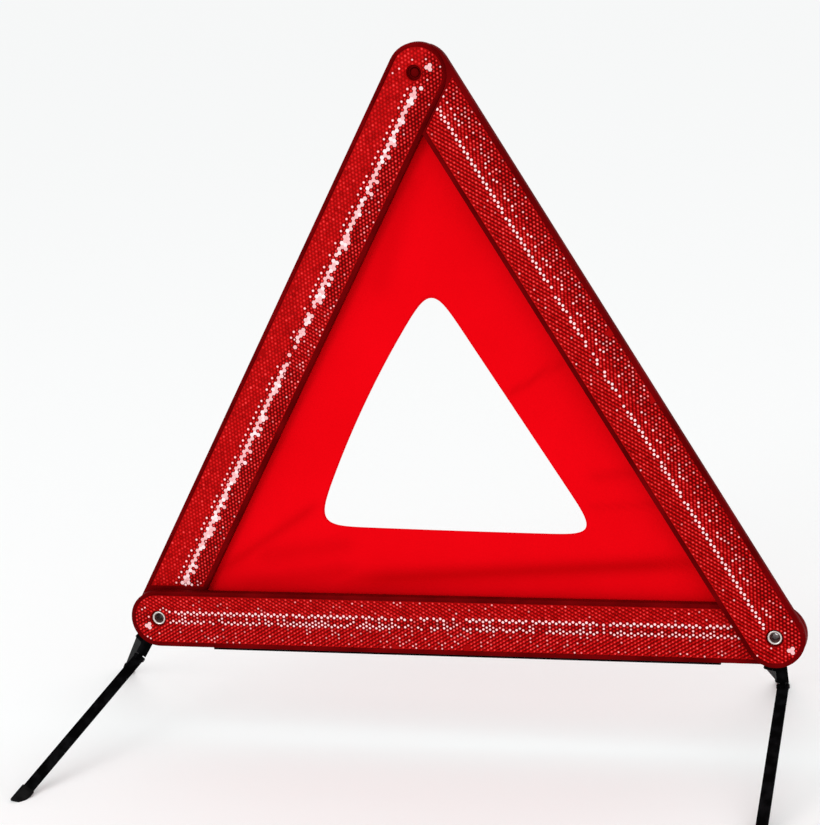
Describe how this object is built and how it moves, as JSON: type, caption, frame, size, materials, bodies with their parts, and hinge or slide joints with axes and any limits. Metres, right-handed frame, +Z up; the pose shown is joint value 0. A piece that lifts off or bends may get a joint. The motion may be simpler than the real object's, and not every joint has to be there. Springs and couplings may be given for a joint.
{
  "type": "warning triangle",
  "caption": "Folding roadside warning triangle: three riveted reflector arms around a fabric panel with a triangular window, standing on swivelling strip legs.",
  "frame": {"origin": "on the ground under the middle of the box round the whole triangle with its legs open", "axes": "+X along the base arm towards the right corner as seen from the front, -Y out of the front face, +Z up"},
  "size_m": [0.5018, 0.2683, 0.4402],
  "materials": {
    "arm_shell_plastic": "satin moulded, dark red",
    "reflector_lens": "glossy, moulded with small cube-corner cells",
    "snap_plastic": "satin moulded, dark red",
    "fabric": "fluorescent red woven cloth, matte",
    "plated_rivet": "zinc-plated, satin",
    "plated_washer": "zinc-plated, satin",
    "painted_rail": "black paint, satin",
    "painted_leg": "black paint, satin",
    "hinge_pin_steel": "blackened, satin",
    "foot_rubber": "black rubber, matte"
  },
  "bodies": {
    "base": {"base_back_shell": "arm_shell_plastic", "base_reflector_lens": "reflector_lens", "fabric_panel": "fabric", "ballast_rail": "painted_rail", "ballast_rail_rivets": "plated_rivet", "left_corner_rivet": "plated_rivet", "right_corner_rivet": "plated_rivet", "left_spacer_washer": "plated_washer", "right_tail_washer": "plated_washer"},
    "left_arm": {"left_back_shell": "arm_shell_plastic", "left_reflector_lens": "reflector_lens", "top_snap_socket": "snap_plastic", "fabric_studs": "snap_plastic"},
    "right_arm": {"right_back_shell": "arm_shell_plastic", "right_reflector_lens": "reflector_lens", "right_snap_tongue": "snap_plastic"},
    "front_left_swivel": {"front_left_swivel_plate": "painted_leg"},
    "front_left_leg": {"front_left_hinge_pin": "hinge_pin_steel", "front_left_leg_strip": "painted_leg", "front_left_foot": "foot_rubber"},
    "front_right_swivel": {"front_right_swivel_plate": "painted_leg"},
    "front_right_leg": {"front_right_hinge_pin": "hinge_pin_steel", "front_right_leg_strip": "painted_leg", "front_right_foot": "foot_rubber"},
    "rear_left_swivel": {"rear_left_swivel_plate": "painted_leg"},
    "rear_left_leg": {"rear_left_hinge_pin": "hinge_pin_steel", "rear_left_leg_strip": "painted_leg", "rear_left_foot": "foot_rubber"},
    "rear_right_swivel": {"rear_right_swivel_plate": "painted_leg"},
    "rear_right_leg": {"rear_right_hinge_pin": "hinge_pin_steel", "rear_right_leg_strip": "painted_leg", "rear_right_foot": "foot_rubber"}
  },
  "joints": [
    {"name": "left_fold", "type": "hinge", "parent": "base", "child": "left_arm", "pos_m": [-0.16759, 0.00525, 0.0786], "axis": [0, 0.9999, 0.0133], "range_deg": [0, 60], "deforming": ["fabric_panel"]},
    {"name": "right_fold", "type": "hinge", "parent": "base", "child": "right_arm", "pos_m": [0.23241, -0.01045, 0.0786], "axis": [0, -0.9999, 0.0133], "range_deg": [0, 60], "deforming": ["right_snap_tongue"]},
    {"name": "front_left_swivel", "type": "hinge", "parent": "base", "child": "front_left_swivel", "pos_m": [-0.16759, 0.0012, 0.0786], "axis": [0, 1, 0], "range_deg": [-72.6, 17.4]},
    {"name": "front_left_hinge", "type": "hinge", "parent": "front_left_swivel", "child": "front_left_leg", "pos_m": [-0.18591, 0.0005, 0.04996], "axis": [0.8425, 0, -0.5388], "range_deg": [0, 64.9]},
    {"name": "front_right_swivel", "type": "hinge", "parent": "base", "child": "front_right_swivel", "pos_m": [0.23241, 0.0012, 0.0786], "axis": [0, 1, 0], "range_deg": [-45.7, 44.3]},
    {"name": "front_right_hinge", "type": "hinge", "parent": "front_right_swivel", "child": "front_right_leg", "pos_m": [0.23496, 0.0005, 0.0447], "axis": [0.9972, 0, 0.075], "range_deg": [0, 71.3]},
    {"name": "rear_left_swivel", "type": "hinge", "parent": "base", "child": "rear_left_swivel", "pos_m": [-0.16759, 0.00235, 0.0786], "axis": [0, 1, 0], "range_deg": [-65.2, 4.8]},
    {"name": "rear_left_hinge", "type": "hinge", "parent": "rear_left_swivel", "child": "rear_left_leg", "pos_m": [-0.18462, 0.00405, 0.06169], "axis": [0.7046, 0, -0.7096], "range_deg": [-51.3, 0]},
    {"name": "rear_right_swivel", "type": "hinge", "parent": "base", "child": "rear_right_swivel", "pos_m": [0.23241, 0.00235, 0.0786], "axis": [0, 1, 0], "range_deg": [-62.5, 7.5]},
    {"name": "rear_right_hinge", "type": "hinge", "parent": "rear_right_swivel", "child": "rear_right_leg", "pos_m": [0.22722, 0.00405, 0.05517], "axis": [0.9763, 0, -0.2164], "range_deg": [-66.2, 0]}
  ]
}
